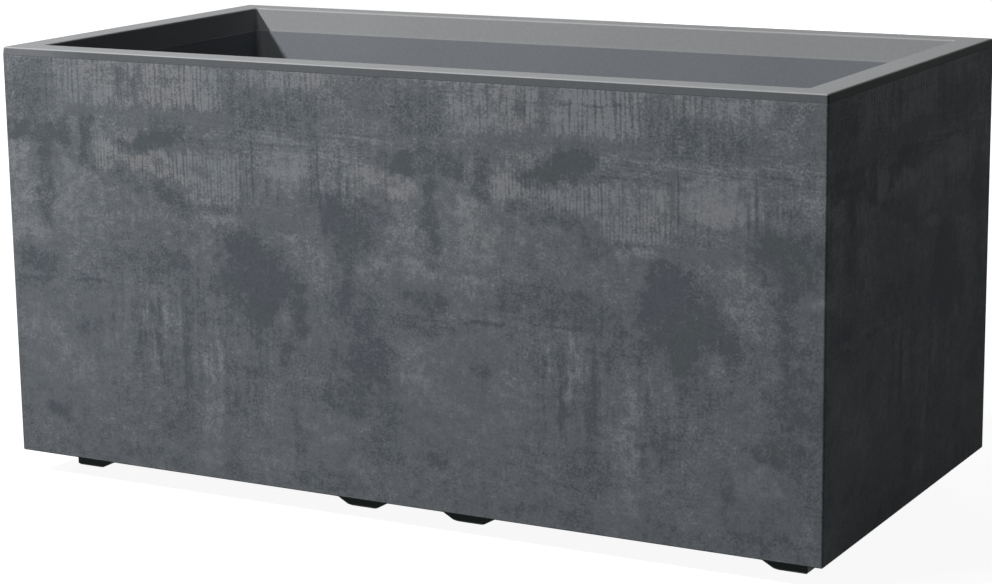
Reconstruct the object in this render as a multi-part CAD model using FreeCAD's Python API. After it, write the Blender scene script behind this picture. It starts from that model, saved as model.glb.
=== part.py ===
import FreeCAD, Part
import os

from FreeCAD import Vector

# Overall size in millimetres: along X, along Y, and from the ground to the top of the rim
length = 800.0
width = 400.0
height = 400.0

# Gaps between pieces
fit_gap = 0.2
liner_gap = 0.3
plug_gap = 0.3

# How far a cutting shape runs past the face that it cuts
overrun = 2.0

# Feet: a runner block with flared flanks under each end and under the middle of each half
foot_height = 22.0
foot_sole = 26.0
foot_flare_height = 9.0
foot_flare_run = 16.5
foot_depth = 42.0
foot_setback = 45.0
foot_end_inset = 46.0
foot_middle_offset = 54.0
foot_wall = 3.5
foot_edge = 1.5
peg_side = 9.0
peg_height = 12.0
peg_spacing = 28.0
pocket_wall = 3.0

# Outer shell: the case with the concrete effect
shell_wall = 4.0
shell_draft = 1.5
shell_corner = 2.0
shell_edge = 0.8
shell_floor = 4.0
shell_recess = 6.0
shell_rib = 3.0
boss_wall = 3.0
boss_cap = 3.0
collar_wall = 3.0
collar_height = 12.0
wall_rib = 2.5
wall_rib_depth = 5.0
wall_rib_pitch = 74.0
wall_rib_drop = 70.0

# Underside ribs, as shares of the half length and of the half width
cross_rib_shares = (-0.7, -0.32, 0.0, 0.32, 0.7)
long_rib_shares = (-0.3, 0.3)

# Rim frame: a flat collar with a lip outside and a skirt inside
rim_width = 27.0
rim_plate = 3.0
rim_edge = 1.5
lip_height = 7.0
lip_wall = 1.8
lip_inset = 0.7
skirt_height = 23.0
skirt_wall = 2.6
opening_corner = 3.0
guide_height = 10.0
guide_wall = 2.0
web_height = 12.0
web_wall = 2.0
web_pitch = 74.0

# Snap legs under the rim and their blind pockets in the shell wall
leg_width = 18.0
leg_length = 15.0
barb_height = 4.0
barb_depth = 1.2
pocket_depth = 1.5
pocket_play = 0.6
leg_pitch = 148.0

# Planting liner: the inner box that hangs the soil clear of the shell
liner_wall = 3.0
liner_ledge = 1.8
liner_draft = 7.0
liner_corner = 5.0
liner_chamfer = 4.0
liner_stand = 40.0
liner_upstand = 7.0
upstand_wall = 2.0
floor_panel_height = 2.5
floor_channel = 16.0
floor_panel_corner = 6.0
floor_panel_pitch = 165.0
post_wall = 3.0
post_play = 3.0

# Drain spouts and their plugs, one under the middle of each half
drain_offset = 204.0
drain_bore = 9.5
spout_wall = 4.0
channel_clear = 12.0
plug_flange_radius = 15.0
plug_flange = 3.0
plug_length = 18.0
plug_hollow_wall = 2.8
plug_floor = 3.0
tab_width = 20.0
tab_wall = 4.0
tab_height = 16.0
tab_hole = 4.5

# Levels and spans that follow from the sizes above
wall_low = foot_height
floor_low = wall_low + shell_recess
floor_top = floor_low + shell_floor
lip_low = height - lip_height
plate_low = height - rim_plate
skirt_low = height - skirt_height
wall_rib_top = height - wall_rib_drop
liner_floor_low = floor_top + liner_stand
liner_floor_top = liner_floor_low + liner_wall
opening_x = length - 2 * rim_width
opening_y = width - 2 * rim_width
guide_from = shell_wall + fit_gap
upstand_from = rim_width - skirt_wall - liner_gap - upstand_wall
foot_flared = foot_sole / 2 + foot_flare_run
foot_plain = foot_sole / 2 + foot_edge
spout_radius = drain_bore + spout_wall
boss_side = peg_side + 2 * (fit_gap + boss_wall)

foot_x = (
    -length / 2 + foot_end_inset,
    -foot_middle_offset,
    foot_middle_offset,
    length / 2 - foot_end_inset,
)
foot_y = width / 2 - foot_setback - foot_depth / 2
drain_x = (-drain_offset, drain_offset)
rib_span = (length - 2 * shell_wall - shell_draft, width - 2 * shell_wall - shell_draft)


# Basic shapes

def frustum(low, high, z_low, z_high, radius=0.0, centre=(0.0, 0.0)):
    """A block whose rectangle changes from low to high, with its four upright edges rounded."""
    wedge = Part.makeWedge(
        -low[0] / 2, 0.0, -low[1] / 2, -high[1] / 2, -high[0] / 2,
        low[0] / 2, z_high - z_low, low[1] / 2, high[1] / 2, high[0] / 2,
    )
    wedge.rotate(Vector(0, 0, 0), Vector(1, 0, 0), 90)
    wedge.translate(Vector(centre[0], centre[1], z_low))
    if radius > 0:
        upright = [e for e in wedge.Edges if abs(e.Vertexes[0].Z - e.Vertexes[1].Z) > radius / 10]
        wedge = wedge.makeFillet(radius, upright)
    return wedge


def block(size_x, size_y, z_low, z_high, radius=0.0, centre=(0.0, 0.0)):
    return frustum((size_x, size_y), (size_x, size_y), z_low, z_high, radius, centre)


def grown(size, margin):
    return (size[0] + 2 * margin, size[1] + 2 * margin)


def frame_ring(outer_from, inner_from, z_low, z_high, outer_corner=0.0, inner_corner=0.0):
    """A rectangular ring between two distances from the outer face of the planter."""
    outer = block(length - 2 * outer_from, width - 2 * outer_from, z_low, z_high, outer_corner)
    inner = block(
        length - 2 * inner_from, width - 2 * inner_from,
        z_low - overrun, z_high + overrun, inner_corner,
    )
    return outer.cut(inner)


def cylinder(radius, z_low, z_high, centre):
    return Part.makeCylinder(radius, z_high - z_low, Vector(centre[0], centre[1], z_low))


def edges_at(shape, z):
    """The edges that lie wholly in one level plane."""
    level = rim_edge / 100
    return [e for e in shape.Edges if all(abs(v.Z - z) < level for v in e.Vertexes)]


def spread(span, pitch):
    """Even places along a span, centred, about one pitch apart."""
    count = max(1, round(span / pitch))
    step = span / count
    return [-span / 2 + step * (i + 0.5) for i in range(count)]


def sides():
    """Each side of the planter: how far it lies from the centre, its span and its turn about Z."""
    return (
        (width / 2, length, 0),
        (length / 2, width, 90),
        (width / 2, length, 180),
        (length / 2, width, 270),
    )


def along_side(points, place, span, distance, turn):
    """Extrudes an outline of (inward distance, height) along the wall, at one place of one side."""
    wire = Part.makePolygon([Vector(place - span / 2, -distance + p, z) for p, z in points + points[:1]])
    solid = Part.Face(wire).extrude(Vector(span, 0, 0))
    solid.rotate(Vector(0, 0, 0), Vector(0, 0, 1), turn)
    return solid


def leg_places():
    """Every snap leg as its place, the distance of its wall and the turn of its side."""
    clear = 2 * (rim_width + leg_width)
    return [
        (place, distance, turn)
        for distance, span, turn in sides()
        for place in spread(span - clear, leg_pitch)
    ]


# Outer shell

def shell_body():
    low = (length - 2 * shell_draft, width - 2 * shell_draft)
    outer = frustum(low, (length, width), wall_low, lip_low - fit_gap, shell_corner)
    outer = outer.makeChamfer(shell_edge, edges_at(outer, wall_low))
    tongue_in = lip_wall + fit_gap
    tongue = block(
        length - 2 * tongue_in, width - 2 * tongue_in,
        lip_low - lip_height, plate_low - fit_gap,
    )
    rise = (floor_top - wall_low) / (lip_low - wall_low)
    inset = shell_wall + shell_draft * (1 - rise)
    cavity = frustum(
        (length - 2 * inset, width - 2 * inset),
        (length - 2 * shell_wall, width - 2 * shell_wall),
        floor_top, height,
    )
    recess_in = shell_wall + shell_draft
    recess = block(
        length - 2 * recess_in, width - 2 * recess_in,
        wall_low - overrun, floor_low,
    )
    return outer.fuse(tongue).cut(cavity).cut(recess)


def foot_sides(number):
    """How far a foot reaches to either side of its sole. An end foot is plain on its outer side."""
    low = foot_plain if number == 1 else foot_flared
    high = foot_plain if number == len(foot_x) else foot_flared
    return low, high


def foot_blocks():
    """Middle and width of the upright block of every foot, front row first."""
    blocks = []
    for y in (-foot_y, foot_y):
        for number, x in enumerate(foot_x, start=1):
            low, high = foot_sides(number)
            blocks.append(((x + (high - low) / 2, y), low + high))
    return blocks


def underside_ribs():
    """Ribs, foot frames and drain rings that fill the recess under the floor."""
    ribs = []
    for share in cross_rib_shares:
        x = share * length / 2
        ribs.append(block(shell_rib, rib_span[1], wall_low, floor_low, 0, (x, 0.0)))
    for share in long_rib_shares:
        y = share * width / 2
        ribs.append(block(rib_span[0], shell_rib, wall_low, floor_low, 0, (0.0, y)))
    for y in (-foot_y, foot_y):
        ribs.append(block(rib_span[0], shell_rib, wall_low, floor_low, 0, (0.0, y)))
    for middle, wide in foot_blocks():
        size = grown((wide, foot_depth), fit_gap + pocket_wall)
        ribs.append(block(size[0], size[1], wall_low, floor_low, 0, middle))
    for x in drain_x:
        ribs.append(cylinder(drain_bore + collar_wall, wall_low, floor_low, (x, 0.0)))
    solid = ribs[0].multiFuse(ribs[1:])
    for middle, wide in foot_blocks():
        size = grown((wide, foot_depth), fit_gap)
        solid = solid.cut(block(size[0], size[1], wall_low - overrun, floor_low, 0, middle))
    return solid


def wall_ribs():
    """Upright stiffening ribs inside the walls, hidden behind the liner."""
    outline = [
        (shell_wall / 2, floor_low), (shell_wall + wall_rib_depth + shell_draft, floor_low),
        (shell_wall + wall_rib_depth, wall_rib_top), (shell_wall / 2, wall_rib_top + wall_rib_depth),
    ]
    return [
        along_side(outline, place, wall_rib, distance, turn)
        for distance, span, turn in sides()
        for place in spread(span - 2 * rim_width, wall_rib_pitch)
    ]


def peg_centres(middle):
    return [(middle[0] + side * peg_spacing / 2, middle[1]) for side in (-1, 1)]


def floor_bosses():
    """Blind sockets for the pegs of the feet, and a collar round each drain spout."""
    boss_top = floor_low + peg_height + fit_gap + boss_cap
    solids = []
    for middle, wide in foot_blocks():
        for peg in peg_centres(middle):
            solids.append(block(boss_side, boss_side, floor_low, boss_top, 0, peg))
    for x in drain_x:
        ring_radius = spout_radius + liner_gap + collar_wall
        solids.append(cylinder(ring_radius, floor_low, floor_top + collar_height, (x, 0.0)))
    return solids


def floor_cuts():
    cuts = []
    socket_top = floor_low + peg_height + fit_gap
    socket_side = peg_side + 2 * fit_gap
    for middle, wide in foot_blocks():
        for peg in peg_centres(middle):
            cuts.append(block(socket_side, socket_side, floor_low - overrun, socket_top, 0, peg))
    for x in drain_x:
        mouth = floor_top + collar_height + overrun
        cuts.append(cylinder(drain_bore, wall_low - overrun, floor_top + overrun, (x, 0.0)))
        cuts.append(cylinder(spout_radius + liner_gap, floor_top, mouth, (x, 0.0)))
    return cuts


def catch_pockets():
    """Blind pockets inside the wall that take the barbs of the snap legs."""
    low = plate_low - guide_height - leg_length - pocket_play
    high = low + barb_height + 2 * pocket_play
    outline = [
        (shell_wall - pocket_depth, low), (shell_wall + overrun, low),
        (shell_wall + overrun, high), (shell_wall - pocket_depth, high),
    ]
    wide = leg_width + 2 * pocket_play
    return [along_side(outline, place, wide, distance, turn) for place, distance, turn in leg_places()]


def outer_shell():
    solid = shell_body().multiFuse([underside_ribs()] + wall_ribs() + floor_bosses())
    for cut in floor_cuts() + catch_pockets():
        solid = solid.cut(cut)
    return solid.removeSplitter()


# Rim frame

def rim_collar():
    """Lip, top plate and skirt as one ring with rounded top edges."""
    lip_top = (length - 2 * lip_inset, width - 2 * lip_inset)
    outer = frustum((length, width), lip_top, lip_low, height, shell_corner)
    outer = outer.fuse(block(
        length - 2 * (rim_width - skirt_wall), width - 2 * (rim_width - skirt_wall),
        skirt_low, plate_low,
    ))
    opening = block(opening_x, opening_y, skirt_low - overrun, height + overrun, opening_corner)
    solid = outer.cut(opening)
    channel_to = rim_width - skirt_wall
    channel = frame_ring(lip_wall, channel_to, lip_low - overrun, plate_low)
    solid = solid.cut(channel)
    return solid.makeFillet(rim_edge, edges_at(solid, height))


def rim_guide():
    return frame_ring(guide_from, guide_from + guide_wall, plate_low - guide_height, plate_low)


def rim_webs():
    """Cross webs under the plate, from the guide to the skirt."""
    reach_to = rim_width - skirt_wall
    outline = [
        (guide_from, plate_low), (guide_from, plate_low - guide_height),
        (upstand_from - liner_gap, plate_low - web_height),
        (reach_to, plate_low - web_height), (reach_to, plate_low),
    ]
    return [
        along_side(outline, place, web_wall, distance, turn)
        for distance, span, turn in sides()
        for place in spread(span - 2 * rim_width, web_pitch)
    ]


def snap_legs():
    """Flat legs with an outward barb that clicks into the shell wall."""
    guide_to = guide_from + guide_wall
    tip = plate_low - guide_height - leg_length
    outline = [
        (guide_from, plate_low - guide_height / 2), (guide_to, plate_low - guide_height / 2),
        (guide_to, tip), (guide_from, tip),
        (guide_from - barb_depth, tip + barb_height - barb_depth),
        (guide_from - barb_depth, tip + barb_height), (guide_from, tip + barb_height),
    ]
    return [
        along_side(outline, place, leg_width, distance, turn)
        for place, distance, turn in leg_places()
    ]


def rim_frame():
    return rim_collar().multiFuse([rim_guide()] + rim_webs() + snap_legs()).removeSplitter()


# Planting liner

def liner_inside(level):
    """Size of the inside of the liner at one level, between its floor and its mouth."""
    share = (skirt_low - level) / (skirt_low - liner_floor_top)
    inset = liner_ledge + liner_draft * share
    return (opening_x - 2 * inset, opening_y - 2 * inset)


def liner_box():
    floor_inside = liner_inside(liner_floor_top)
    mouth_inside = liner_inside(skirt_low)
    outer = frustum(
        grown(floor_inside, liner_wall), grown(mouth_inside, liner_wall),
        liner_floor_low, skirt_low, liner_corner + liner_wall,
    )
    shelf = frame_ring(
        upstand_from, rim_width, skirt_low - liner_wall, skirt_low,
        inner_corner=opening_corner,
    )
    upstand = frame_ring(
        upstand_from, upstand_from + upstand_wall, skirt_low - liner_wall,
        skirt_low + liner_upstand,
    )
    cavity = frustum(floor_inside, mouth_inside, liner_floor_top, skirt_low, liner_corner)
    cavity = cavity.makeChamfer(liner_chamfer, edges_at(cavity, liner_floor_top))
    return outer.multiFuse([shelf, upstand]).cut(cavity)


def floor_panels():
    """Raised pads with water channels between them that lead to the drains."""
    inside = liner_inside(liner_floor_top)
    span_x, span_y = (side - floor_channel for side in inside)
    places_x = spread(span_x, floor_panel_pitch)
    places_y = spread(span_y, floor_panel_pitch)
    long = span_x / len(places_x) - floor_channel
    deep = span_y / len(places_y) - floor_channel
    top = liner_floor_top + floor_panel_height
    pads = [
        block(long, deep, liner_floor_low, top, floor_panel_corner, (x, y))
        for x in places_x
        for y in places_y
    ]
    wells = [
        cylinder(plug_flange_radius + channel_clear, liner_floor_top, top + overrun, (x, 0.0))
        for x in drain_x
    ]
    pads = [pad.cut(wells[0]).cut(wells[1]) for pad in pads]
    return pads


def liner_posts():
    """Hollow posts that stand on the shell floor round the foot sockets."""
    inner = grown((peg_spacing + boss_side, boss_side), post_play)
    outer = grown(inner, post_wall)
    posts = []
    for middle, wide in foot_blocks():
        post = block(outer[0], outer[1], floor_top, liner_floor_low, 0, middle)
        posts.append(post.cut(block(inner[0], inner[1], floor_top - overrun, liner_floor_low, 0, middle)))
    return posts


def planting_liner():
    spouts = [
        cylinder(spout_radius, floor_top + liner_gap, liner_floor_low, (x, 0.0)) for x in drain_x
    ]
    solid = liner_box().multiFuse(floor_panels() + liner_posts() + spouts)
    for x in drain_x:
        mouth = liner_floor_top + floor_panel_height + overrun
        solid = solid.cut(cylinder(drain_bore, floor_top, mouth, (x, 0.0)))
    return solid.removeSplitter()


# Feet

def foot_outline(number):
    """Half sections of a foot across the planter, from the left over the sole to the right."""
    low, high = foot_sides(number)
    left = [(-low, floor_low), (-low, foot_flare_height), (-foot_sole / 2, 0.0)]
    right = [(foot_sole / 2, 0.0), (high, foot_flare_height), (high, floor_low)]
    if low == foot_plain:
        left = [(-low, floor_low), (-low, 0.0)]
    if high == foot_plain:
        right = [(high, 0.0), (high, floor_low)]
    return left + right


def foot(number, y):
    x = foot_x[number - 1]
    low, high = foot_sides(number)
    points = [Vector(x + across, y - foot_depth / 2, z) for across, z in foot_outline(number)]
    face = Part.Face(Part.makePolygon(points + points[:1]))
    solid = face.extrude(Vector(0, foot_depth, 0))
    low_edges = [e for e in solid.Edges if e.BoundBox.ZMax < foot_flare_height - overrun]
    solid = solid.makeChamfer(foot_edge, low_edges)
    middle = (x + (high - low) / 2, y)
    size = grown((low + high, foot_depth), -foot_wall)
    hollow_low = foot_flare_height + foot_wall
    hollow = block(size[0], size[1], hollow_low, floor_low + overrun, 0, middle)
    cross = block(foot_wall, size[1] + foot_wall, foot_flare_height, floor_low, 0, middle)
    solid = solid.cut(hollow).fuse(cross)
    for peg in peg_centres(middle):
        post = block(peg_side, peg_side, foot_flare_height, floor_low + peg_height, 0, peg)
        solid = solid.fuse(post.makeChamfer(foot_edge, edges_at(post, floor_low + peg_height)))
    return solid.removeSplitter()


# Drain plugs

def drain_plug(x):
    flange_top = liner_floor_top + plug_flange
    stem_radius = drain_bore - plug_gap
    stem = cylinder(stem_radius, liner_floor_top - plug_length, liner_floor_top, (x, 0.0))
    flange = cylinder(plug_flange_radius, liner_floor_top, flange_top, (x, 0.0))
    hollow = cylinder(
        stem_radius - plug_hollow_wall,
        liner_floor_top - plug_length - overrun, liner_floor_top - plug_floor, (x, 0.0),
    )
    tab_top = flange_top + tab_height
    tab = block(tab_width, tab_wall, flange_top - plug_flange / 2, tab_top, 0, (x, 0.0))
    top_edges = [
        e for e in edges_at(tab, tab_top) if abs(e.Vertexes[0].X - e.Vertexes[1].X) < tab_wall / 2
    ]
    tab = tab.makeChamfer(tab_width / 4, top_edges)
    hole = Part.makeCylinder(
        tab_hole, tab_wall + 2 * overrun,
        Vector(x, -tab_wall / 2 - overrun, tab_top - tab_width / 2), Vector(0, 1, 0),
    )
    return stem.fuse(flange).fuse(tab).cut(hollow).cut(hole).removeSplitter()


# The whole planter, node by node

def nodes():
    yield "outer_shell", outer_shell()
    yield "rim_frame", rim_frame()
    yield "planting_liner", planting_liner()
    for row, y in (("front", -foot_y), ("rear", foot_y)):
        for number in range(1, len(foot_x) + 1):
            yield f"foot_{row}_{number}", foot(number, y)
    for side, x in zip(("left", "right"), drain_x):
        yield f"drain_plug_{side}", drain_plug(x)


def main():
    os.makedirs("parts", exist_ok=True)
    for name, shape in nodes():
        shape.exportStep(f"parts/{name}.step")
        box = shape.BoundBox
        print(
            name, "valid", shape.isValid(), "solids", len(shape.Solids),
            "volume", round(shape.Volume), "faces", len(shape.Faces),
            "box", [round(v, 2) for v in (box.XMin, box.YMin, box.ZMin, box.XMax, box.YMax, box.ZMax)],
        )


main()
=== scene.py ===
import math

import bmesh
import bpy
from mathutils import Matrix, Vector


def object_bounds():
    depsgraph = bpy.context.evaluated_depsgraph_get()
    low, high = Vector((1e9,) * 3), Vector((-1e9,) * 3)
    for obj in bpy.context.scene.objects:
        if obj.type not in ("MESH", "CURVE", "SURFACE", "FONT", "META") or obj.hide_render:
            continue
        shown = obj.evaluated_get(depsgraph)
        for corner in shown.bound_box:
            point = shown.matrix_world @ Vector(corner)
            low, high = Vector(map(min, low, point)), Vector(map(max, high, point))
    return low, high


# All lengths are in metres, as in the frame. A name that ends in step holds the two values between which a
# smooth change runs, and what it runs from and to, or else it runs from 0 to 1

# The planter as it was built, and its box
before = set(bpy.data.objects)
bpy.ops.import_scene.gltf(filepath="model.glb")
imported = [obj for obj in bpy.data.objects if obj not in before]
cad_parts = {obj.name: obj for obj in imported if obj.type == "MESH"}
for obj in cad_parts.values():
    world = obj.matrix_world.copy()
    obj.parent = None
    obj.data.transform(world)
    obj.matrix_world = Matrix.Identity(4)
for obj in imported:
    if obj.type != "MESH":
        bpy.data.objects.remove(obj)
cad_low, cad_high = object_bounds()

# Camera: its place, turns and lens give the photograph's view of the planter in an image of 992 by 584
CAMERA_PLACE = Vector((1.121, -2.039, 0.672))
CAMERA_YAW = math.radians(28.81)
CAMERA_PITCH = math.radians(-10.42)
CAMERA_ROLL = math.radians(0.75)
CAMERA_LENS = 94.17
CAMERA_SENSOR = 36.0
CAMERA_SHIFT_Y = -0.08

# Main lamp, from the upper left in front: place, width and power
KEY_LAMP = (Vector((-1.88, -2.02, 2.43)), 0.26, 142.0)

# Weaker lamps for the back, the right end and the inside, in the same terms. They are left out of reflections
FILL_LAMPS = {
    "back": (Vector((-1.80, 3.30, 0.62)), 1.0, 75.0),
    "end": (Vector((1.25, 0.0, 0.32)), 0.2, 0.44),
    "top": (Vector((-0.50, -1.0, 2.8)), 0.8, 27.0),
}

# World: white where it is seen, and as dim as this to the rays that light the planter
WHITE = (1.0, 1.0, 1.0, 1.0)
AMBIENT = 0.012

# Floor: dark enough to throw little light on the case, and white to the camera with a faint shadow.
# Its glow rises to white with the distance from the planter's middle
FLOOR_HALF = 14.0
FLOOR_CELLS = 4
FLOOR_SHADE = 0.22
FLOOR_GLOW_STEP = (0.6, 2.0, 0.93, 1.0)


def tone(red, green, blue):
    """A colour as it shows on a screen, from 0 to 255, as linear values by the standard sRGB curve."""
    def linear(level):
        share = level / 255
        return share / 12.92 if share < 0.04045 else ((share + 0.055) / 1.055) ** 2.4
    return (linear(red), linear(green), linear(blue), 1.0)


# Film colours, and the case's own plastic
FILM_PALE_COOL = tone(120, 124, 128)
FILM_PALE_WARM = tone(126, 126, 128)
FILM_GROUND = tone(98, 102, 106)
FILM_DARK_BLUE = tone(83, 87, 93)
FILM_DARK_GREY = tone(83, 88, 91)
CASE_PLASTIC = tone(50, 53, 55)

# Rim colours: its body, and the outer face of its lip in front, at the left front corner and at the ends,
# where its darker tone is painted shade
RIM_PALE = tone(135, 136, 137)
LIP_FRONT = tone(90, 93, 95)
LIP_CORNER = tone(107, 109, 111)
LIP_END_SHADE = tone(60, 61, 62)

# Colours of the other pieces
LINER_GREY = tone(115, 119, 123)
FOOT_BLACK = tone(46, 55, 53)
PLUG_BLACK = tone(30, 31, 32)

# The film's pattern repeats along the case, every so far
FILM_REPEAT = 0.405

# Dark blotches of one repeat of the film: distance along, height, half width, half height and strength
DARK_BLOTCHES = (
    # The large blotch and what runs from it
    (0.268, 0.216, 0.030, 0.038, 1.00),
    (0.256, 0.238, 0.016, 0.014, 0.50),
    (0.274, 0.176, 0.016, 0.024, 0.60),
    (0.306, 0.200, 0.022, 0.016, 0.55),
    (0.314, 0.182, 0.008, 0.020, 0.60),
    (0.298, 0.152, 0.008, 0.018, 0.45),
    (0.236, 0.196, 0.012, 0.028, 0.35),
    # The second blotch, its neck and the patches under it
    (0.366, 0.266, 0.034, 0.020, 0.72),
    (0.345, 0.282, 0.014, 0.014, 0.45),
    (0.362, 0.224, 0.010, 0.034, 0.60),
    (0.372, 0.188, 0.024, 0.018, 0.50),
    (0.378, 0.150, 0.028, 0.024, 0.60),
    (0.360, 0.110, 0.026, 0.016, 0.55),
    (0.400, 0.128, 0.012, 0.040, 0.30),
    # Bar and stem at the left
    (0.006, 0.326, 0.016, 0.010, 0.55),
    (0.043, 0.276, 0.008, 0.036, 0.65),
    (0.043, 0.306, 0.012, 0.012, 0.50),
    (0.192, 0.323, 0.013, 0.012, 0.45),
    # Under the top edge
    (0.030, 0.360, 0.024, 0.026, 0.55),
    (0.262, 0.362, 0.024, 0.026, 0.45),
    (0.310, 0.355, 0.030, 0.020, 0.45),
    (0.130, 0.376, 0.005, 0.014, 0.65),
    (0.150, 0.372, 0.005, 0.018, 0.55),
    (0.390, 0.372, 0.016, 0.022, 0.35),
    # A slanting band across the middle
    (0.130, 0.293, 0.018, 0.007, 0.60),
    (0.152, 0.284, 0.022, 0.007, 0.45),
    (0.180, 0.280, 0.016, 0.011, 0.60),
    (0.196, 0.266, 0.014, 0.010, 0.50),
    # Patches at the level of the large blotch
    (0.030, 0.204, 0.026, 0.011, 0.45),
    (0.030, 0.182, 0.030, 0.008, 0.35),
    (0.150, 0.214, 0.054, 0.015, 0.40),
    (0.204, 0.190, 0.018, 0.026, 0.35),
    # Streaks below
    (0.142, 0.152, 0.007, 0.032, 0.45),
    (0.165, 0.140, 0.0045, 0.044, 0.65),
    (0.192, 0.140, 0.008, 0.044, 0.50),
    (0.238, 0.130, 0.005, 0.044, 0.45),
    (0.256, 0.112, 0.010, 0.024, 0.45),
    (0.088, 0.150, 0.013, 0.010, 0.50),
    # Patches near the foot
    (0.045, 0.068, 0.010, 0.008, 0.60),
    (0.078, 0.066, 0.010, 0.005, 0.35),
    (0.186, 0.072, 0.020, 0.020, 0.42),
    (0.150, 0.036, 0.050, 0.010, 0.30),
    (0.310, 0.070, 0.007, 0.020, 0.42),
    (0.336, 0.036, 0.034, 0.013, 0.42),
    (0.238, 0.034, 0.026, 0.008, 0.35),
    (0.398, 0.072, 0.018, 0.022, 0.35),
)

# Flat dark patches with ragged edges: left, right, bottom and top edge, and strength
FLAT_PATCHES = (
    (0.008, 0.072, 0.313, 0.334, 0.74),
    (0.046, 0.072, 0.318, 0.330, 0.20),
    (0.083, 0.099, 0.295, 0.340, 0.66),
    # Three steps of a slanting patch
    (0.125, 0.160, 0.308, 0.326, 0.85),
    (0.144, 0.182, 0.316, 0.335, 0.75),
    (0.158, 0.198, 0.326, 0.347, 0.70),
    # Small ones in the middle and below
    (0.338, 0.402, 0.270, 0.288, 0.22),
    (0.012, 0.050, 0.198, 0.213, 0.28),
    (0.120, 0.146, 0.212, 0.226, 0.22),
    (0.150, 0.186, 0.198, 0.210, 0.22),
    (0.104, 0.124, 0.200, 0.208, 0.22),
    (0.176, 0.200, 0.214, 0.224, 0.20),
)

# Thin dark strokes of one repeat, in the same terms as the blotches
STROKES = (
    (0.200, 0.3805, 0.040, 0.0012, 0.60),
    (0.262, 0.3280, 0.060, 0.0016, 0.35),
    (0.240, 0.3220, 0.030, 0.0014, 0.45),
    (0.252, 0.2970, 0.0010, 0.013, 0.40),
    (0.258, 0.2960, 0.0010, 0.016, 0.40),
    (0.263, 0.2990, 0.0010, 0.018, 0.50),
    (0.269, 0.3060, 0.0012, 0.028, 0.85),
    (0.284, 0.2900, 0.0011, 0.012, 0.50),
    (0.295, 0.2800, 0.0011, 0.010, 0.45),
    (0.329, 0.2960, 0.0011, 0.014, 0.45),
    (0.336, 0.3120, 0.0012, 0.022, 0.55),
    (0.358, 0.3060, 0.0015, 0.022, 0.45),
    (0.365, 0.2960, 0.0012, 0.016, 0.40),
    (0.374, 0.3020, 0.0013, 0.018, 0.45),
    (0.404, 0.3060, 0.0012, 0.026, 0.50),
    (0.240, 0.2690, 0.030, 0.0026, 0.35),
    (0.092, 0.1915, 0.019, 0.0020, 0.80),
    (0.158, 0.1950, 0.024, 0.0014, 0.50),
    (0.030, 0.1890, 0.028, 0.0012, 0.40),
)

# Pale patches of one repeat, in the same terms as the blotches
PALE_PATCHES = (
    (0.300, 0.310, 0.030, 0.018, 0.95),
    (0.232, 0.2605, 0.026, 0.005, 0.95),
    (0.300, 0.251, 0.026, 0.003, 0.70),
    (0.240, 0.336, 0.050, 0.0022, 0.45),
    (0.310, 0.334, 0.040, 0.0026, 0.45),
    (0.325, 0.228, 0.018, 0.034, 0.45),
    (0.384, 0.309, 0.020, 0.012, 0.60),
    (0.010, 0.302, 0.020, 0.012, 0.80),
    (0.014, 0.262, 0.018, 0.024, 0.60),
    (0.014, 0.232, 0.040, 0.010, 0.65),
    (0.074, 0.290, 0.022, 0.010, 0.60),
    (0.080, 0.256, 0.026, 0.026, 0.60),
    (0.085, 0.220, 0.016, 0.012, 0.40),
    (0.110, 0.306, 0.014, 0.014, 0.35),
    (0.222, 0.100, 0.009, 0.062, 0.70),
    (0.212, 0.046, 0.016, 0.020, 0.50),
    (0.174, 0.160, 0.003, 0.034, 0.55),
    (0.153, 0.168, 0.0035, 0.024, 0.45),
    (0.246, 0.160, 0.003, 0.026, 0.50),
    (0.302, 0.168, 0.005, 0.014, 0.50),
    (0.020, 0.150, 0.030, 0.020, 0.50),
    (0.044, 0.120, 0.030, 0.020, 0.45),
    (0.080, 0.104, 0.020, 0.026, 0.45),
    (0.118, 0.130, 0.018, 0.030, 0.35),
    (0.340, 0.084, 0.026, 0.014, 0.50),
    (0.290, 0.046, 0.026, 0.014, 0.35),
    (0.376, 0.052, 0.018, 0.014, 0.35),
)

# Patches where the film runs in upright drips, in the same terms as the blotches
DRIP_PATCHES = (
    (0.175, 0.150, 0.050, 0.055, 1.00),
    (0.255, 0.130, 0.045, 0.050, 0.80),
    (0.350, 0.302, 0.040, 0.034, 1.20),
    (0.290, 0.372, 0.060, 0.030, 0.80),
    (0.030, 0.372, 0.035, 0.026, 0.60),
)

# Combed patches of one repeat: left, right, bottom and top edge, and strength
COMBED_PATCHES = (
    (0.060, 0.148, 0.352, 0.394, 0.58),
    (0.154, 0.238, 0.356, 0.394, 0.96),
    (0.262, 0.350, 0.376, 0.394, 0.60),
    (0.099, 0.128, 0.296, 0.326, 0.66),
    (0.132, 0.202, 0.288, 0.316, 0.62),
    (0.196, 0.262, 0.271, 0.316, 0.62),
)

# Patches brushed level, in the same terms as the combed ones
BRUSHED_PATCHES = (
    (0.198, 0.402, 0.321, 0.347, 1.25),
    (0.000, 0.090, 0.222, 0.240, 0.45),
    (0.060, 0.140, 0.186, 0.202, 0.40),
)

# Patches with little speckle, in the same terms as the combed ones
CALM_PATCHES = (
    (0.008, 0.112, 0.062, 0.178, 0.75),
    (0.286, 0.370, 0.040, 0.098, 0.70),
    (0.196, 0.238, 0.026, 0.074, 0.60),
    (0.000, 0.066, 0.210, 0.240, 0.50),
    (0.056, 0.106, 0.236, 0.292, 0.45),
    (0.060, 0.260, 0.022, 0.046, 0.50),
)

# Smooth patches of one repeat, in the same terms as the combed ones
SMOOTH_PATCHES = (
    (0.075, 0.245, 0.339, 0.354, 0.70),
    (0.252, 0.322, 0.257, 0.269, 0.90),
)

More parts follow.
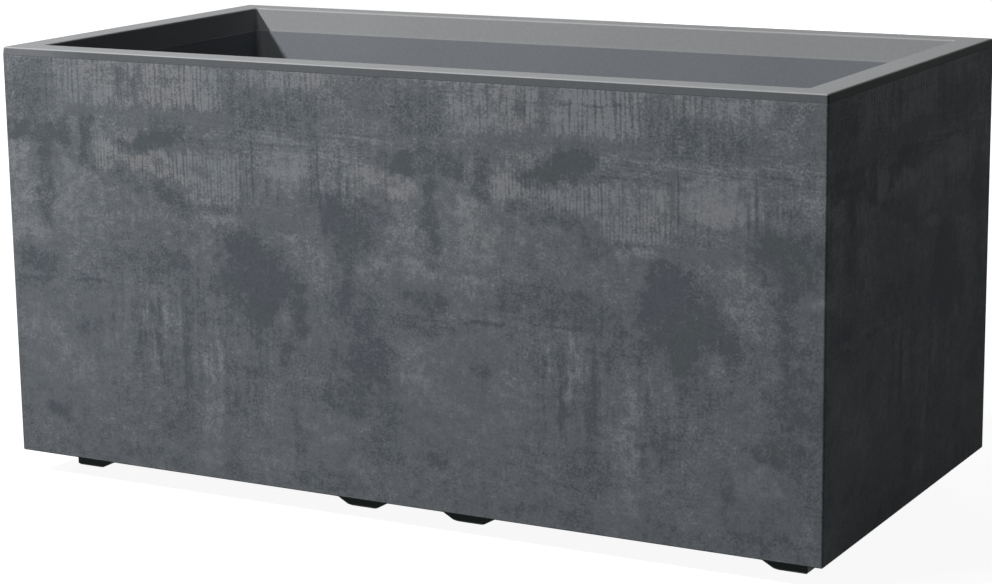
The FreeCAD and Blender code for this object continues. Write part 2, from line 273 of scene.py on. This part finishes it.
# Noises of the film: features per metre along and up, detail and roughness. A shift or a layer picks another
# part of the noise
COARSE_BEND_NOISE = dict(along=34.0, up=34.0, detail=3.0)
FINE_BEND_NOISE = dict(along=150.0, up=120.0, detail=2.0)
CLOUD_NOISE = dict(along=20.0, up=24.0, detail=3.0, roughness=0.6)
ISLAND_NOISE = dict(along=40.0, up=52.0, detail=4.0, roughness=0.7, layer=11.0)
DRIP_NOISE = dict(along=190.0, up=11.0, detail=2.0, roughness=0.6)
BRUSH_NOISE = dict(along=15.0, up=330.0, detail=3.0, roughness=0.7, layer=5.0)
COMB_SWAY_NOISE = dict(along=60.0, up=9.0, detail=1.0)
COMB_END_NOISE = dict(along=170.0, up=0.0, detail=2.0, roughness=0.7, shift=3.0)
COMB_BREAK_NOISE = dict(along=36.0, up=60.0, detail=2.0, layer=4.0)
SPECKLE_NOISE = dict(along=420.0, up=460.0, detail=2.0, roughness=0.8)
SPECKLE_DRIFT_NOISE = dict(along=21.0, up=21.0, detail=2.0)
GRAIN_NOISE = dict(along=110.0, up=100.0, detail=4.0, roughness=0.85)
WARM_NOISE = dict(along=9.0, up=11.0, detail=3.0)
GREY_NOISE = dict(along=26.0, up=16.0, detail=2.0)
WASH_NOISE = dict(along=5.0, up=5.0, detail=2.0)
NOISE_MIDDLE = 0.5

# How far the bends move the film's forms along and up
COARSE_BEND = (0.030, 0.026, 0.0)
FINE_BEND = (0.012, 0.014, 0.0)
STROKE_BEND = (0.0022, 0.010, 0.0)

# Where ellipses start and stop to fade, as shares of their half width and half height
DARK_FADE_SHARES = (0.45, 1.50)
PALE_FADE_SHARES = (0.45, 1.40)
DRIP_FADE_SHARES = (0.50, 1.40)
STROKE_FADE_SHARES = (0.60, 1.40)

# Ellipses nearer to an end of the repeat than this share of their half width show at its other end too
REACH_SHARE = 2.0

# How far rectangles fade to each side of their edges: at the left and right, and at the bottom and top
FLAT_SOFTNESS = (0.0022, 0.0022)
COMB_SOFTNESS = (0.010, 0.003)
BRUSH_SOFTNESS = (0.012, 0.004)
SMOOTH_SOFTNESS = (0.012, 0.003)
CALM_SOFTNESS = (0.010, 0.010)

# Ground of the film: paler upwards, with clouds, islands and drips
RISE_STEP = (0.05, 0.40, 0.44, 0.58)
ISLAND_STEP = (0.44, 0.56, -0.08, 0.08)
CLOUD_STRENGTH = 0.24
DRIP_STRENGTH = 0.30
DRIP_GAIN = 3.0

# Forms on the ground
DARK_DEPTH = 0.52
PALE_DEPTH = 0.34
BRUSH_SLANT = 0.06
BRUSH_STRENGTH = 1.3
SMOOTH_SHARE = 0.8
SMOOTH_LEVEL = 0.42

# Combed lines. They change at one height: pitch, sway in turns and streaks per metre below and above it
COMB_CHANGE = 0.338
COMB_PITCHES = (0.0037, 0.0054)
COMB_SWAYS = (1.6, 2.4)
COMB_STREAKS = (440.0, 350.0)
COMB_STREAKS_UP = 22.0
COMB_STREAK_DETAIL = 1.0
COMB_STREAK_STRENGTH = 5.0
COMB_SIDE_SHIFT = 0.016
COMB_END_SHIFT = 0.030
COMB_BREAK_STEP = (0.30, 0.56, 0.35, 1.1)
COMB_LINE_STEP = (-1.5, 0.1)
COMB_LINE_RISE = 0.62
COMB_LINE_BASE = -0.12

# Speckle and grain: how loud they are, how much of that is cut where the film is smooth or calm, and how far
# they shade the colour
SPECKLE_DRIFT_STEP = (0.35, 0.65, 0.5, 1.5)
SPECKLE_TOP_STEP = (0.29, 0.35, 1.0, 1.4)
SPECKLE_CUT = 0.7
GRAIN_STRENGTH = 1.2
GRAIN_CUT = 0.5
SPECKLE_SHADE = 0.60
GRAIN_SHADE = 0.42

# Hues of the film, and its colours by how pale it is
WARM_STEP = (0.42, 0.62)
WARM_HEIGHT_STEP = (0.20, 0.31, 0.15, 1.0)
GREY_STEP = (0.34, 0.72)
GREY_HEIGHT_STEP = (0.27, 0.33, 0.0, 0.12)
GROUND_STEP = (0.05, 0.46)
PALE_STEP = (0.46, 1.05)
WASH_STEP = (0.3, 0.7, 0.97, 1.03)
# Painted highlight along the film's top edge, just under the lip
TOP_EDGE_HIGHLIGHT_STEP = (cad_high.z - 0.0095, cad_high.z - 0.0075, 0.0, 0.10)

# The film covers the upright faces within a margin of the overall sides
FILM_MARGIN = 0.0035
UPRIGHT_LIMIT = 0.5
FILM_ROUGHNESS_STEP = (0.3, 0.7, 0.52, 0.66)
FILM_SPECULAR = 0.008

# Rim: its faces by how level they lie, from 0 upright to 1 level
ROUND_START_STEP = (0.10, 0.35)
ROUND_STOP_STEP = (0.80, 0.98, 1.0, 0.0)
SIDE_STEP = (0.15, 0.45, 1.0, 0.0)
# Painted highlight: how much paler the rounded edges are
ROUND_HIGHLIGHT = 0.36
# Painted light: how much paler the upright faces are than the level top
SIDE_PAINTED_LIGHT = 0.17

# Lip: how near to the overall sides it stands, where its corner tone ends, and what faces the ends and takes
# their painted shade
LIP_MARGIN = 0.0012
LIP_CORNER_STEP = (cad_low.x + 0.035, cad_low.x + 0.100)
END_FACING = 0.7

# Grain of the mouldings: its size and strength, and the strength of the slow drift of the tone
RIM_GRAIN = dict(size=0.0022, strength=0.22, drift=0.10)
LIP_GRAIN = dict(size=0.0030, strength=0.25, drift=0.20)
LINER_GRAIN = dict(size=0.0026, strength=0.26, drift=0.14)
FOOT_GRAIN = dict(size=0.0012, strength=0.30, drift=0.10)
PLUG_GRAIN = dict(size=0.0009, strength=0.35, drift=0.10)
GRAIN_ROUGHNESS = 0.6
DRIFT_PER_METRE = 7.0

# Surface of the mouldings: roughness, depth of the grain, and gloss
RIM_SURFACE = dict(roughness=0.50, relief=0.000015, specular=0.014)
LINER_SURFACE = dict(roughness=0.55, relief=0.00002, specular=0.03)
FOOT_SURFACE = dict(roughness=0.60, relief=0.00003, specular=0.15)
PLUG_SURFACE = dict(roughness=0.70, relief=0.00003, specular=0.3)


class Graph:
    """Short calls for the nodes of one material, or of the world."""

    def __init__(self, name, owner=None):
        self.owner = owner or bpy.data.materials.new(name)
        self.owner.use_nodes = True
        self.nodes = self.owner.node_tree.nodes
        self.links = self.owner.node_tree.links
        self.nodes.clear()

    def add(self, kind, inputs=(), **settings):
        """A node with its settings, its inputs set to values or joined to other nodes' outputs."""
        node = self.nodes.new(kind)
        for key, value in settings.items():
            setattr(node, key, value)
        for slot, value in dict(inputs).items():
            if isinstance(value, bpy.types.NodeSocket):
                self.links.new(value, node.inputs[slot])
            else:
                node.inputs[slot].default_value = value
        return node

    def math(self, operation, a, b=0.0, c=0.0):
        """One step of arithmetic with numbers."""
        return self.add("ShaderNodeMath", {0: a, 1: b, 2: c}, operation=operation).outputs[0]

    def vector(self, operation, a, b=(0.0, 0.0, 0.0), c=(0.0, 0.0, 0.0)):
        """One step of arithmetic with vectors or colours. A length comes out as a number."""
        inputs = {0: a, 1: b}
        if operation == "MULTIPLY_ADD":
            inputs[2] = c
        node = self.add("ShaderNodeVectorMath", inputs, operation=operation)
        return node.outputs["Value" if operation == "LENGTH" else "Vector"]

    def join(self, x, y, z=0.0):
        """A vector from its parts."""
        return self.add("ShaderNodeCombineXYZ", {0: x, 1: y, 2: z}).outputs[0]

    def split(self, vector):
        """The parts of a vector."""
        return self.add("ShaderNodeSeparateXYZ", {0: vector}).outputs

    def noise(self, vector, detail=2.0, roughness=0.5, output="Fac"):
        """Noise of about one feature per unit of the vector, from 0 to 1."""
        inputs = {"Vector": vector, "Scale": 1.0, "Detail": detail, "Roughness": roughness}
        return self.add("ShaderNodeTexNoise", inputs).outputs[output]

    def step(self, value, low, high, to_low=0.0, to_high=1.0):
        """Goes smoothly from to_low to to_high as the value goes from low to high."""
        inputs = {"Value": value, 1: low, 2: high, 3: to_low, 4: to_high}
        return self.add("ShaderNodeMapRange", inputs, interpolation_type="SMOOTHSTEP").outputs[0]

    def blend(self, share, a, b):
        """Mixes two colours. The node keeps its colours in inputs 6 and 7 and output 2."""
        inputs = {"Factor": share, 6: a, 7: b}
        return self.add("ShaderNodeMix", inputs, data_type="RGBA").outputs[2]

    def choose(self, share, a, b):
        """Mixes two numbers. The node keeps its numbers in inputs 2 and 3 and output 0."""
        return self.add("ShaderNodeMix", {"Factor": share, 2: a, 3: b}).outputs[0]

    def centred(self, value, size):
        """Noise turned into a number about zero."""
        return self.math("MULTIPLY", self.math("SUBTRACT", value, NOISE_MIDDLE), size)

    def scaled(self, colour, factor):
        """A colour made lighter or darker."""
        if isinstance(colour, tuple):
            colour = colour[:3]
        return self.vector("MULTIPLY", colour, self.join(factor, factor, factor))

    def finish(self, colour, roughness, height=None, relief=0.0, specular=0.5):
        """The surface, with an optional relief given as a height from 0 to 1 and its depth."""
        inputs = {"Base Color": colour, "Roughness": roughness, "Specular IOR Level": specular}
        if height is not None:
            bump = self.add("ShaderNodeBump", {"Height": height, "Distance": relief, "Strength": 1.0})
            inputs["Normal"] = bump.outputs[0]
        shader = self.add("ShaderNodeBsdfPrincipled", inputs)
        self.add("ShaderNodeOutputMaterial", {"Surface": shader.outputs[0]})
        return self.owner


def place_and_normal(g):
    """The parts of the place and of the normal of the surface, in the planter's own frame."""
    texture = g.add("ShaderNodeTexCoord")
    return g.split(texture.outputs["Object"]), g.split(texture.outputs["Normal"])


def outermost(g, place, margin):
    """One within a margin of the planter's overall sides, and nothing further in."""
    out_x = g.math("SUBTRACT", g.math("ABSOLUTE", place[0]), cad_high.x - margin)
    out_y = g.math("SUBTRACT", g.math("ABSOLUTE", place[1]), cad_high.y - margin)
    return g.math("GREATER_THAN", g.math("MAXIMUM", out_x, out_y), 0.0)


# Forms of the film with the concrete effect

def round_the_case(g, place, normal):
    """Distance round the case from its left front edge, by the side that the surface faces."""
    long = cad_high.x - cad_low.x
    wide = cad_high.y - cad_low.y
    front = g.math("SUBTRACT", place[0], cad_low.x)
    right = g.math("ADD", place[1], long - cad_low.y)
    back = g.math("SUBTRACT", 2 * long + wide + cad_low.x, place[0])
    left = g.math("SUBTRACT", 2 * long + 2 * wide + cad_low.y, place[1])
    on_end = g.math("GREATER_THAN", g.math("ABSOLUTE", normal[0]), g.math("ABSOLUTE", normal[1]))
    long_side = g.choose(g.math("GREATER_THAN", normal[1], 0.0), front, back)
    end = g.choose(g.math("GREATER_THAN", normal[0], 0.0), left, right)
    return g.choose(on_end, long_side, end)


def film_noise(g, place, along, up, detail, roughness=0.5, shift=0.0, layer=0.0, output="Fac"):
    """A noise on the film, by its features per metre along and up."""
    point = g.vector("MULTIPLY_ADD", place, (along, up, 0.0), (0.0, shift, layer))
    return g.noise(point, detail, roughness, output)


def bend(g, place, noise, reach):
    """Moves a place by the colour of a noise."""
    about_zero = g.vector("SUBTRACT", noise, (NOISE_MIDDLE,) * 3)
    return g.vector("MULTIPLY_ADD", about_zero, reach, place)


def in_repeat(g, along):
    """The same place in the first repeat of the film."""
    return g.math("WRAP", along, FILM_REPEAT, 0.0)


def with_repeats(rows):
    """The same rows, with those near the ends of the repeat added again at the other end."""
    made = list(rows)
    for along, height, half_wide, half_high, strength in rows:
        if along < REACH_SHARE * half_wide:
            made.append((along + FILM_REPEAT, height, half_wide, half_high, strength))
        if along > FILM_REPEAT - REACH_SHARE * half_wide:
            made.append((along - FILM_REPEAT, height, half_wide, half_high, strength))
    return made


def ellipse_sum(g, point, rows, inner_share, outer_share):
    """Adds up ellipses that fade from full inside to nothing outside."""
    total = 0.0
    for along, height, half_wide, half_high, strength in with_repeats(rows):
        scale = (1 / half_wide, 1 / half_high, 0.0)
        shift = (-along / half_wide, -height / half_high, 0.0)
        distance = g.vector("LENGTH", g.vector("MULTIPLY_ADD", point, scale, shift))
        total = g.math("ADD", total, g.step(distance, inner_share, outer_share, strength, 0.0))
    return total


def rectangle_sum(g, along, height, rows, soft_side, soft_end):
    """Adds up rectangles with soft edges."""
    total = 0.0
    for left, right, bottom, top, strength in rows:
        across = g.math("ABSOLUTE", g.math("SUBTRACT", along, (left + right) / 2))
        up = g.math("ABSOLUTE", g.math("SUBTRACT", height, (bottom + top) / 2))
        half_wide = (right - left) / 2
        half_high = (top - bottom) / 2
        inside_x = g.step(across, half_wide - soft_side, half_wide + soft_side, strength, 0.0)
        inside_z = g.step(up, half_high - soft_end, half_high + soft_end, 1.0, 0.0)
        total = g.math("ADD", total, g.math("MULTIPLY", inside_x, inside_z))
    return total


def film_ground(g, place, height, dripping):
    """How pale the film is under its forms, with louder drips where it drips."""
    cloud = g.centred(film_noise(g, place, **CLOUD_NOISE), CLOUD_STRENGTH)
    islands = g.step(film_noise(g, place, **ISLAND_NOISE), *ISLAND_STEP)
    cloud = g.math("ADD", cloud, islands)
    drip = g.centred(film_noise(g, place, **DRIP_NOISE), DRIP_STRENGTH)
    drip = g.math("MULTIPLY", drip, g.math("MULTIPLY_ADD", dripping, DRIP_GAIN, 1.0))
    rise = g.step(height, *RISE_STEP)
    return g.math("ADD", g.math("ADD", rise, cloud), drip)


def film_field(g, along, height):
    """How pale the film is before its fine speckle, about 0.5 at its ground tone, and how smooth."""
    place = g.join(along, height)
    coarse = film_noise(g, place, **COARSE_BEND_NOISE, output="Color")
    fine = film_noise(g, place, **FINE_BEND_NOISE, output="Color")
    bent = g.split(bend(g, bend(g, place, coarse, COARSE_BEND), fine, FINE_BEND))
    bent_along = in_repeat(g, bent[0])
    bent_height = bent[1]
    bent_place = g.join(bent_along, bent_height)
    straight = g.split(bend(g, place, fine, STROKE_BEND))
    stroke_place = g.join(in_repeat(g, straight[0]), straight[1])

    dark = ellipse_sum(g, bent_place, DARK_BLOTCHES, *DARK_FADE_SHARES)
    flat = rectangle_sum(g, bent_along, bent_height, FLAT_PATCHES, *FLAT_SOFTNESS)
    dark = g.math("ADD", dark, flat)
    dark = g.math("ADD", dark, ellipse_sum(g, stroke_place, STROKES, *STROKE_FADE_SHARES))
    pale = ellipse_sum(g, bent_place, PALE_PATCHES, *PALE_FADE_SHARES)
    dripping = ellipse_sum(g, bent_place, DRIP_PATCHES, *DRIP_FADE_SHARES)
    field = film_ground(g, place, height, dripping)
    field = g.math("MULTIPLY_ADD", dark, -DARK_DEPTH, field)
    field = g.math("MULTIPLY_ADD", pale, PALE_DEPTH, field)

    slanted = g.math("MULTIPLY_ADD", bent_along, BRUSH_SLANT, height)
    brush = g.centred(film_noise(g, g.join(along, slanted), **BRUSH_NOISE), BRUSH_STRENGTH)
    brushed = rectangle_sum(g, bent_along, bent_height, BRUSHED_PATCHES, *BRUSH_SOFTNESS)
    field = g.math("MULTIPLY_ADD", brush, brushed, field)
    smooth = rectangle_sum(g, bent_along, bent_height, SMOOTH_PATCHES, *SMOOTH_SOFTNESS)
    calm = rectangle_sum(g, bent_along, bent_height, CALM_PATCHES, *CALM_SOFTNESS)
    field = g.choose(g.math("MULTIPLY", smooth, SMOOTH_SHARE), field, SMOOTH_LEVEL)
    return field, g.math("MAXIMUM", smooth, calm)


def combed(g, along, height):
    """Combed lines: their share of the surface, and how pale the line is at this point."""
    place = g.join(along, height)
    high = g.math("GREATER_THAN", height, COMB_CHANGE)
    lines_per_metre = g.choose(high, 1 / COMB_PITCHES[0], 1 / COMB_PITCHES[1])
    sway = g.math("MULTIPLY", film_noise(g, place, **COMB_SWAY_NOISE), g.choose(high, *COMB_SWAYS))
    turn = g.math("MULTIPLY_ADD", along, lines_per_metre, sway)
    line = g.math("SINE", g.math("MULTIPLY", turn, 2 * math.pi))
    streak_along = g.math("MULTIPLY", along, g.choose(high, *COMB_STREAKS))
    streak_place = g.join(streak_along, g.math("MULTIPLY", height, COMB_STREAKS_UP))
    streak = g.noise(streak_place, COMB_STREAK_DETAIL)
    line = g.math("ADD", line, g.centred(streak, COMB_STREAK_STRENGTH))

    uneven = film_noise(g, place, **COMB_BREAK_NOISE)
    ragged = film_noise(g, place, **COMB_END_NOISE)
    side_place = in_repeat(g, g.math("ADD", along, g.centred(uneven, COMB_SIDE_SHIFT)))
    end_place = g.math("ADD", height, g.centred(ragged, COMB_END_SHIFT))
    patch = rectangle_sum(g, side_place, end_place, COMBED_PATCHES, *COMB_SOFTNESS)
    patch = g.math("MULTIPLY", patch, g.step(uneven, *COMB_BREAK_STEP))
    return g.math("MINIMUM", patch, 1.0), g.step(line, *COMB_LINE_STEP)


# Colour of the film

def speckle_strength(g, place, height, smooth):
    """How loud the speckle is: it drifts, and it is louder near the top."""
    strength = g.step(film_noise(g, place, **SPECKLE_DRIFT_NOISE), *SPECKLE_DRIFT_STEP)
    strength = g.math("MULTIPLY", strength, g.math("MULTIPLY_ADD", smooth, -SPECKLE_CUT, 1.0))
    return g.math("MULTIPLY", strength, g.step(height, *SPECKLE_TOP_STEP))


def film_level(g, along, height, speckle, grain):
    """How pale the film is with its speckle, grain and combed lines."""
    field, smooth = film_field(g, along, height)
    strength = speckle_strength(g, g.join(along, height), height, smooth)
    level = g.math("MULTIPLY_ADD", g.math("SUBTRACT", speckle, NOISE_MIDDLE), strength, field)
    grain_share = g.math("MULTIPLY_ADD", smooth, -GRAIN_CUT, 1.0)
    level = g.math("MULTIPLY_ADD", g.centred(grain, GRAIN_STRENGTH), grain_share, level)
    patch, line = combed(g, along, height)
    paler = g.math("MULTIPLY_ADD", line, COMB_LINE_RISE, COMB_LINE_BASE)
    return g.math("ADD", level, g.math("MULTIPLY", paler, patch))


def film_hues(g, place, height):
    """The dark and the pale colour of the film at this point."""
    warm = g.step(film_noise(g, place, **WARM_NOISE), *WARM_STEP)
    warm = g.math("MULTIPLY", warm, g.step(height, *WARM_HEIGHT_STEP))
    grey = g.math("ADD", film_noise(g, place, **GREY_NOISE), g.step(height, *GREY_HEIGHT_STEP))
    dark = g.blend(g.step(grey, *GREY_STEP), FILM_DARK_BLUE, FILM_DARK_GREY)
    return dark, g.blend(warm, FILM_PALE_COOL, FILM_PALE_WARM)


def film_colour(g, along, height):
    """The film's colour, with a painted highlight along its top edge, and its fine speckle."""
    place = g.join(along, height)
    speckle = film_noise(g, place, **SPECKLE_NOISE)
    grain = film_noise(g, place, **GRAIN_NOISE)
    level = film_level(g, along, height, speckle, grain)
    dark, pale = film_hues(g, place, height)
    colour = g.blend(g.step(level, *GROUND_STEP), dark, FILM_GROUND)
    colour = g.blend(g.step(level, *PALE_STEP), colour, pale)
    wash = g.step(film_noise(g, place, **WASH_NOISE), *WASH_STEP)
    fine = g.math("ADD", g.centred(grain, GRAIN_SHADE), g.centred(speckle, SPECKLE_SHADE))
    # The top edge step adds a painted highlight along the film's top edge
    shade = g.math("ADD", g.math("ADD", wash, fine), g.step(height, *TOP_EDGE_HIGHLIGHT_STEP))
    return g.scaled(colour, shade), speckle


# Materials

def film_material():
    """The case: film on the outer faces, plain dark plastic inside and underneath."""
    g = Graph("concrete_film")
    place, normal = place_and_normal(g)
    along = round_the_case(g, place, normal)
    colour, speckle = film_colour(g, along, place[2])
    upright = g.math("LESS_THAN", g.math("ABSOLUTE", normal[2]), UPRIGHT_LIMIT)
    film = g.math("MULTIPLY", outermost(g, place, FILM_MARGIN), upright)
    colour = g.blend(film, CASE_PLASTIC, colour)
    return g.finish(colour, g.step(speckle, *FILM_ROUGHNESS_STEP), specular=FILM_SPECULAR)


def grained(g, colour, size, strength, drift):
    """A plain moulded colour with a fine grain and a slow drift of its tone."""
    place = g.add("ShaderNodeTexCoord").outputs["Object"]
    grain = g.noise(g.vector("MULTIPLY", place, (1 / size,) * 3), roughness=GRAIN_ROUGHNESS)
    slow = g.noise(g.vector("MULTIPLY", place, (DRIFT_PER_METRE,) * 3))
    factor = g.math("ADD", 1.0, g.math("ADD", g.centred(grain, strength), g.centred(slow, drift)))
    return g.scaled(colour, factor), grain


def rim_material():
    """Pale moulded plastic with a painted highlight on its rounded edges and painted light on its upright
    faces, and a darker outer face on the lip, darker still at the ends as painted shade.
    """
    g = Graph("rim_plastic")
    place, normal = place_and_normal(g)
    levelness = g.math("ABSOLUTE", normal[2])
    # Painted highlight on the rounded edges, and painted light on the upright faces
    rounded = g.math("MULTIPLY", g.step(levelness, *ROUND_START_STEP), g.step(levelness, *ROUND_STOP_STEP))
    side = g.step(levelness, *SIDE_STEP)
    paler = g.math("MULTIPLY_ADD", side, SIDE_PAINTED_LIGHT, g.math("MULTIPLY_ADD", rounded, ROUND_HIGHLIGHT, 1.0))
    body, grain = grained(g, RIM_PALE, **RIM_GRAIN)
    body = g.scaled(body, paler)
    front_lip = g.blend(g.step(place[0], *LIP_CORNER_STEP), LIP_CORNER, LIP_FRONT)
    # Lip faces towards the ends are darker as painted shade
    on_end = g.math("GREATER_THAN", g.math("ABSOLUTE", normal[0]), END_FACING)
    lip = grained(g, g.blend(on_end, front_lip, LIP_END_SHADE), **LIP_GRAIN)[0]
    lip_share = g.math("MULTIPLY", outermost(g, place, LIP_MARGIN), side)
    return g.finish(g.blend(lip_share, body, lip), height=grain, **RIM_SURFACE)


def plain_material(name, base, grain, surface):
    """A moulding of one tone, with its grain as a fine relief."""
    g = Graph(name)
    colour, relief = grained(g, base, **grain)
    return g.finish(colour, height=relief, **surface)


def liner_material():
    """Darker grey, fine-grained and matt."""
    return plain_material("liner_plastic", LINER_GREY, LINER_GRAIN, LINER_SURFACE)


def foot_material():
    """Near-black moulded plastic."""
    return plain_material("foot_plastic", FOOT_BLACK, FOOT_GRAIN, FOOT_SURFACE)


def plug_material():
    """Black rubber."""
    return plain_material("plug_rubber", PLUG_BLACK, PLUG_GRAIN, PLUG_SURFACE)


def dress_nodes():
    """Gives every node of the model its material, by how the node's name starts."""
    materials = {
        "outer_shell": film_material(),
        "rim_frame": rim_material(),
        "planting_liner": liner_material(),
        "foot": foot_material(),
        "drain_plug": plug_material(),
    }
    for name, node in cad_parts.items():
        made = next(material for start, material in materials.items() if name.startswith(start))
        node.data.materials.clear()
        node.data.materials.append(made)


# Floor, light and camera

def background_share(g):
    """One for the rays that see the background as white, and nothing for those that light the object."""
    path = g.add("ShaderNodeLightPath").outputs
    seen = g.math("MAXIMUM", path["Is Camera Ray"], path["Is Glossy Ray"])
    return g.math("MAXIMUM", seen, path["Is Transmission Ray"])


def floor_material():
    """White to the camera and to reflections, with the shadow that falls on it, and grey to other light."""
    g = Graph("floor")
    grey = (FLOOR_SHADE,) * 3 + (1.0,)
    diffuse = g.add("ShaderNodeBsdfDiffuse", {"Color": grey}).outputs[0]
    away = g.vector("LENGTH", g.add("ShaderNodeTexCoord").outputs["Object"])
    strength = g.math("MULTIPLY", background_share(g), g.step(away, *FLOOR_GLOW_STEP))
    glow = g.add("ShaderNodeEmission", {"Strength": strength}).outputs[0]
    both = g.add("ShaderNodeAddShader", {0: diffuse, 1: glow}).outputs[0]
    g.add("ShaderNodeOutputMaterial", {"Surface": both})
    return g.owner


def make_floor():
    """A wide flat floor under the feet."""
    mesh = bpy.data.meshes.new("floor")
    build = bmesh.new()
    bmesh.ops.create_grid(build, x_segments=FLOOR_CELLS, y_segments=FLOOR_CELLS, size=FLOOR_HALF)
    build.to_mesh(mesh)
    build.free()
    floor = bpy.data.objects.new("floor", mesh)
    bpy.context.scene.collection.objects.link(floor)
    mesh.materials.append(floor_material())


def make_world():
    """White to the camera and to reflections, and otherwise dim."""
    world = bpy.data.worlds.new("studio")
    bpy.context.scene.world = world
    g = Graph("studio", world)
    level = g.choose(background_share(g), AMBIENT, 1.0)
    background = g.add("ShaderNodeBackground", {"Color": WHITE, "Strength": level})
    g.add("ShaderNodeOutputWorld", {"Surface": background.outputs[0]})


def make_lamp(name, place, width, power):
    """A round lamp that points at the middle of the planter and isn't seen itself."""
    lamp = bpy.data.lights.new(name, "AREA")
    lamp.shape = "DISK"
    lamp.size = width
    lamp.energy = power
    holder = bpy.data.objects.new(name, lamp)
    holder.location = place
    holder.rotation_mode = "QUATERNION"
    holder.rotation_quaternion = ((cad_low + cad_high) / 2 - place).to_track_quat("-Z", "Y")
    holder.visible_camera = False
    bpy.context.scene.collection.objects.link(holder)
    return holder


def make_camera():
    """The photograph's camera."""
    data = bpy.data.cameras.new("camera")
    data.sensor_width = CAMERA_SENSOR
    data.lens = CAMERA_LENS
    data.shift_y = CAMERA_SHIFT_Y
    camera = bpy.data.objects.new("camera", data)
    # The quarter turn makes a camera that looks down look along +Y, and the other turns aim it
    turns = (
        Matrix.Rotation(CAMERA_YAW, 4, "Z") @ Matrix.Rotation(CAMERA_PITCH, 4, "X")
        @ Matrix.Rotation(CAMERA_ROLL, 4, "Y") @ Matrix.Rotation(math.pi / 2, 4, "X")
    )
    camera.matrix_world = Matrix.Translation(CAMERA_PLACE) @ turns
    bpy.context.scene.collection.objects.link(camera)
    bpy.context.scene.camera = camera


make_camera()
make_floor()
make_world()
make_lamp("key", *KEY_LAMP)
for lamp_name, lamp_values in FILL_LAMPS.items():
    make_lamp(lamp_name, *lamp_values).visible_glossy = False
dress_nodes()
bpy.context.scene.view_settings.view_transform = "Standard"
